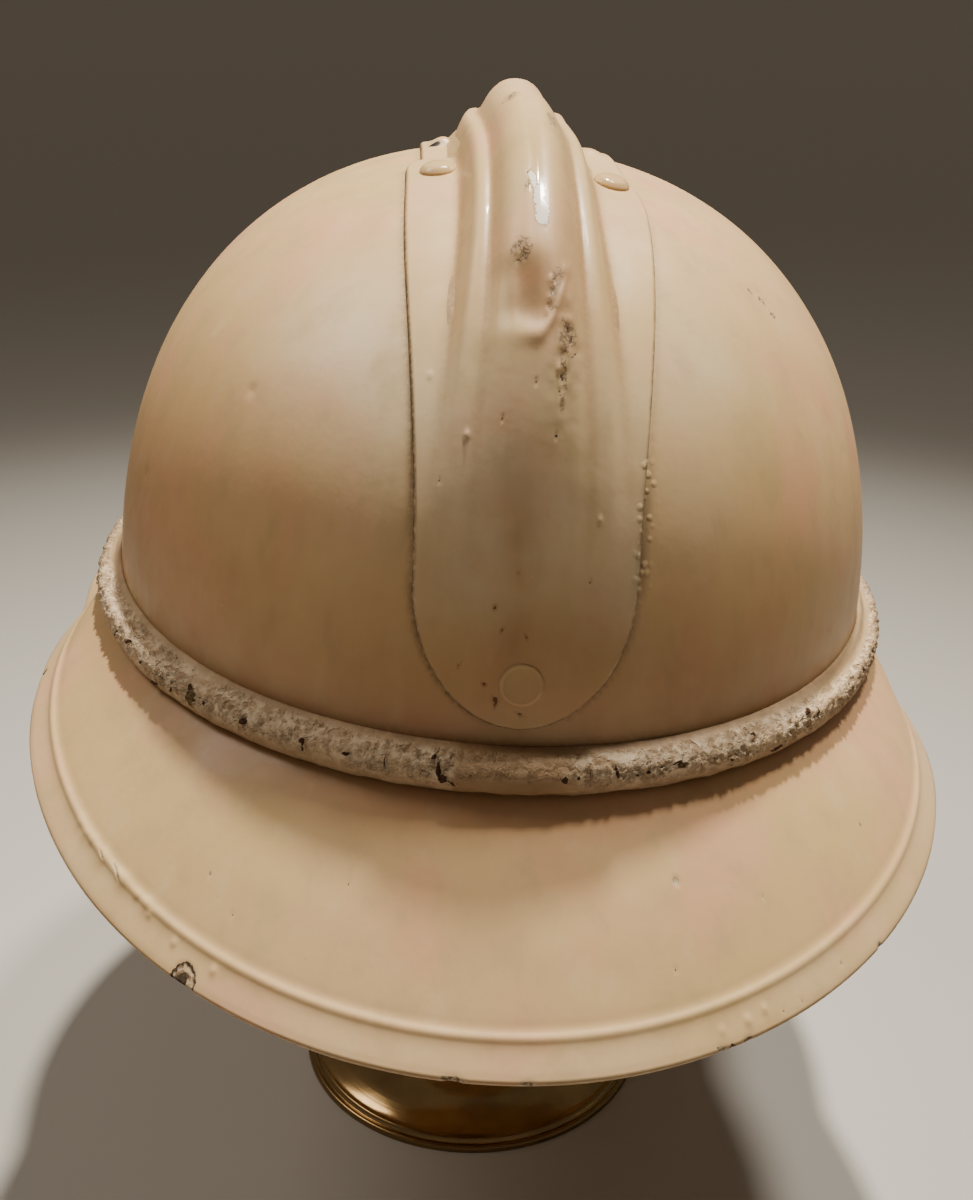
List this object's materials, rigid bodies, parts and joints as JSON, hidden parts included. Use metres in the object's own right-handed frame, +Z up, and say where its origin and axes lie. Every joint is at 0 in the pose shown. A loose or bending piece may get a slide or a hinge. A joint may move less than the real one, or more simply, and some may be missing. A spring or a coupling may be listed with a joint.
{
  "type": "adrian helmet on a brass stand",
  "caption": "Combed steel helmet with a sloping neck guard and visor, its chin strap round the crown's base, held up level on a turned stand with a round foot.",
  "frame": {"origin": "centre of the foot's flat underside, on the surface that the stand stands on", "axes": "+Z up; +Y the way the wearer faces, so the neck guard is at -Y; +X the wearer's right"},
  "size_m": [0.2278, 0.298, 0.2851],
  "materials": {
    "helmet_paint": "thick glossy cream paint over steel, yellowed, with grime along the seams, chips and rust specks",
    "painted_leather": "leather under thick cream paint, cracked and wrinkled, with dark chips",
    "stand_brass": "polished brass, lightly tarnished in its grooves"
  },
  "bodies": {
    "root": {"crown": "helmet_paint", "neck_guard": "helmet_paint", "visor": "helmet_paint", "comb": "helmet_paint", "comb_rivet_rear": "helmet_paint", "comb_rivet_front": "helmet_paint", "comb_rivet_left": "helmet_paint", "comb_rivet_right": "helmet_paint", "chin_strap": "painted_leather", "stand_foot": "stand_brass", "stand_stem": "stand_brass", "stand_cap": "stand_brass"}
  },
  "joints": []
}
